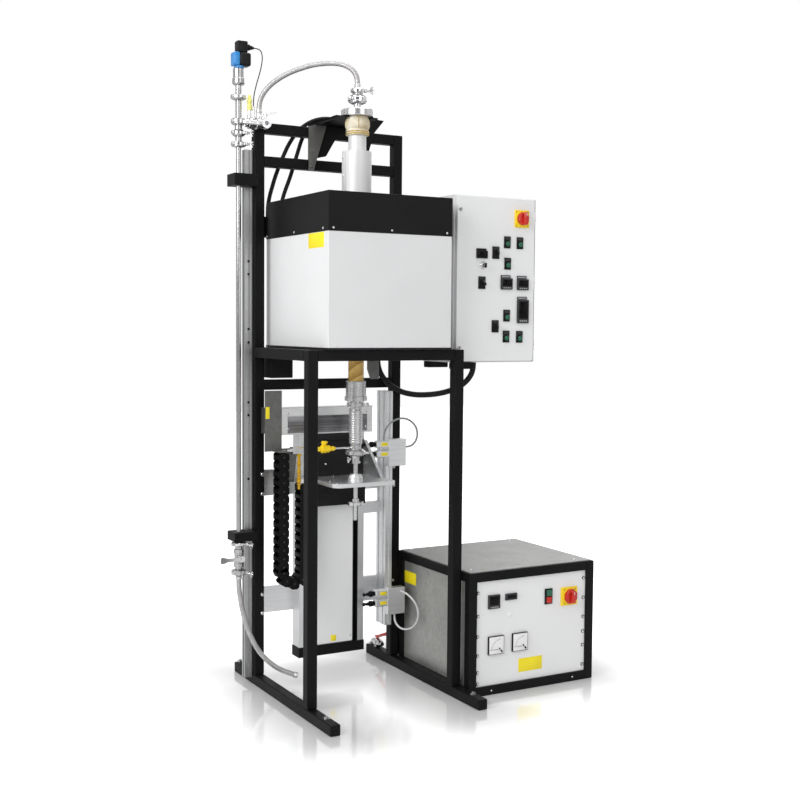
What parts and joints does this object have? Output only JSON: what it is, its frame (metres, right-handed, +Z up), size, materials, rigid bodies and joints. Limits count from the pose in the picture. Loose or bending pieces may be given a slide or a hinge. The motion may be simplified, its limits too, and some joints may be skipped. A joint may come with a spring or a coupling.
{
  "type": "crystal growth furnace",
  "caption": "Vertical tube furnace on a black tube frame with a lowering growth table, vacuum column, control cabinet and floor-standing power cabinet.",
  "frame": {"origin": "centre of the bounding box on the floor plane", "axes": "+X to the right seen from the front, +Y to the back, +Z up"},
  "size_m": [1.41, 0.9, 2.495],
  "materials": {
    "black_paint": "semi-matt black powder coat",
    "grey_paint": "light grey powder coat, fine texture",
    "band_paint": "dark grey powder coat",
    "steel": "bright stainless steel",
    "zinc_sheet": "galvanised sheet",
    "aluminium": "clear anodised",
    "jacket_sheet": "satin aluminium sheet",
    "wrap_cloth": "woven glass tape",
    "amber_tube": "tube wrapped in amber film",
    "fibre": "matt insulating fibre",
    "element": "matt heating rods",
    "black_plastic": "matt black",
    "chain_plastic": "matt black nylon",
    "brass": "yellow brass",
    "red_plastic": "gloss red",
    "green_plastic": "gloss green",
    "metal_hose": "corrugated stainless steel",
    "white_tube": "translucent white",
    "grey_tube": "grey",
    "black_rubber": "matt black"
  },
  "bodies": {
    "frame": {"frame_tubes": "black_paint", "fasteners": "steel", "furnace_casing": "grey_paint", "furnace_band": "band_paint", "insulation": "fibre", "heating_elements": "element", "growth_tube": "amber_tube", "tube_jacket": "jacket_sheet", "neck_wrap": "wrap_cloth", "tube_head": "steel", "lower_seal": "steel", "head_bracket": "black_paint", "black_brackets": "black_paint", "sheet_brackets": "zinc_sheet", "drive_column": "aluminium", "drive_cover": "grey_paint", "drive_beams": "aluminium", "chain_fixed": "chain_plastic", "vacuum_pipe": "steel", "valve_cross": "steel", "gauge_head": "black_plastic", "gas_valve": "brass", "steel_fittings": "steel", "valve_blocks": "aluminium", "control_cabinet": "grey_paint", "power_frame": "black_paint", "power_panels": "zinc_sheet", "power_front": "grey_paint", "power_instruments": "black_plastic", "top_hose": "metal_hose", "lower_hose": "metal_hose", "gauge_cable": "black_rubber", "head_cable_left": "black_rubber", "head_cable_right": "black_rubber", "conduit": "black_rubber", "upper_loop": "grey_tube", "lower_loop": "white_tube"},
    "carriage": {"carriage": "aluminium", "chain_moving": "chain_plastic"},
    "rod": {"growth_rod": "steel"},
    "chain_roller": {"chain_bend": "chain_plastic"},
    "door": {"control_door": "grey_paint", "door_instruments": "black_plastic"},
    "door_switch": {"door_switch_knob": "red_plastic"},
    "power_switch": {"power_switch_knob": "red_plastic"},
    "start": {"start_button": "green_plastic"},
    "stop": {"stop_button": "red_plastic"},
    "pipe_lever": {"valve_handle": "steel"},
    "port_valve": {"port_lever": "steel"},
    "water_handle": {"water_lever": "red_plastic"},
    "key": {"key_switch": "steel"},
    "press_1": {"button_1": "green_plastic"},
    "press_2": {"button_2": "green_plastic"},
    "press_3": {"button_3": "green_plastic"},
    "press_4": {"button_4": "green_plastic"},
    "press_5": {"button_5": "green_plastic"},
    "press_6": {"button_6": "green_plastic"},
    "turn_1": {"selector_1": "black_plastic"},
    "turn_2": {"selector_2": "black_plastic"},
    "turn_3": {"selector_3": "black_plastic"}
  },
  "joints": [
    {"name": "carriage_slide", "type": "slide", "parent": "frame", "child": "carriage", "axis": [0, 0, 1], "range_m": [-0.45, 0.035], "deforming": ["chain_moving"]},
    {"name": "rod_spin", "type": "hinge", "parent": "carriage", "child": "rod", "pos_m": [-0.221, 0.003, 0.8], "axis": [0, 0, 1], "continuous": true},
    {"name": "chain_roll", "type": "slide", "parent": "frame", "child": "chain_roller", "axis": [0, 0, 1], "range_m": [-0.225, 0.0175], "deforming": ["chain_fixed"]},
    {"name": "door_hinge", "type": "hinge", "parent": "frame", "child": "door", "pos_m": [0.471, -0.1933, 1.6], "axis": [0, 0, 1], "range_deg": [0, 110]},
    {"name": "door_switch_turn", "type": "hinge", "parent": "door", "child": "door_switch", "pos_m": [0.406, -0.205, 1.846], "axis": [0, -1, 0], "range_deg": [0, 90]},
    {"name": "power_switch_turn", "type": "hinge", "parent": "frame", "child": "power_switch", "pos_m": [0.589, -0.31, 0.348], "axis": [0, -1, 0], "range_deg": [0, 90]},
    {"name": "start_press", "type": "slide", "parent": "frame", "child": "start", "axis": [0, 1, 0], "range_m": [0, 0.003], "stiffness_N_per_m": 600},
    {"name": "stop_press", "type": "slide", "parent": "frame", "child": "stop", "axis": [0, 1, 0], "range_m": [0, 0.003], "stiffness_N_per_m": 600},
    {"name": "pipe_valve_turn", "type": "hinge", "parent": "frame", "child": "pipe_lever", "pos_m": [-0.617, 0.19, 0.518], "axis": [0, -1, 0], "range_deg": [0, 90]},
    {"name": "port_valve_turn", "type": "hinge", "parent": "frame", "child": "port_valve", "pos_m": [-0.513, 0.204, 2.226], "axis": [0, 0, -1], "range_deg": [0, 90]},
    {"name": "water_valve_turn", "type": "hinge", "parent": "frame", "child": "water_handle", "pos_m": [0.085, 0.38, 0.084], "axis": [0, 0, 1], "range_deg": [0, 90]},
    {"name": "key_turn", "type": "hinge", "parent": "door", "child": "key", "pos_m": [0.228, -0.21, 1.659], "axis": [0, -1, 0], "range_deg": [0, 90]},
    {"name": "button_1_press", "type": "slide", "parent": "door", "child": "press_1", "axis": [0, 1, 0], "range_m": [0, 0.003], "stiffness_N_per_m": 500},
    {"name": "button_2_press", "type": "slide", "parent": "door", "child": "press_2", "axis": [0, 1, 0], "range_m": [0, 0.003], "stiffness_N_per_m": 500},
    {"name": "button_3_press", "type": "slide", "parent": "door", "child": "press_3", "axis": [0, 1, 0], "range_m": [0, 0.003], "stiffness_N_per_m": 500},
    {"name": "button_4_press", "type": "slide", "parent": "door", "child": "press_4", "axis": [0, 1, 0], "range_m": [0, 0.003], "stiffness_N_per_m": 500},
    {"name": "button_5_press", "type": "slide", "parent": "door", "child": "press_5", "axis": [0, 1, 0], "range_m": [0, 0.003], "stiffness_N_per_m": 500},
    {"name": "button_6_press", "type": "slide", "parent": "door", "child": "press_6", "axis": [0, 1, 0], "range_m": [0, 0.003], "stiffness_N_per_m": 500},
    {"name": "selector_1_turn", "type": "hinge", "parent": "door", "child": "turn_1", "pos_m": [0.286, -0.21, 1.71], "axis": [0, -1, 0], "range_deg": [0, 90]},
    {"name": "selector_2_turn", "type": "hinge", "parent": "door", "child": "turn_2", "pos_m": [0.223, -0.21, 1.592], "axis": [0, -1, 0], "range_deg": [0, 90]},
    {"name": "selector_3_turn", "type": "hinge", "parent": "door", "child": "turn_3", "pos_m": [0.287, -0.21, 1.424], "axis": [0, -1, 0], "range_deg": [0, 90]}
  ],
  "couplings": [
    {"joint": "chain_roll", "follows": "carriage_slide", "ratio": 0.5}
  ]
}
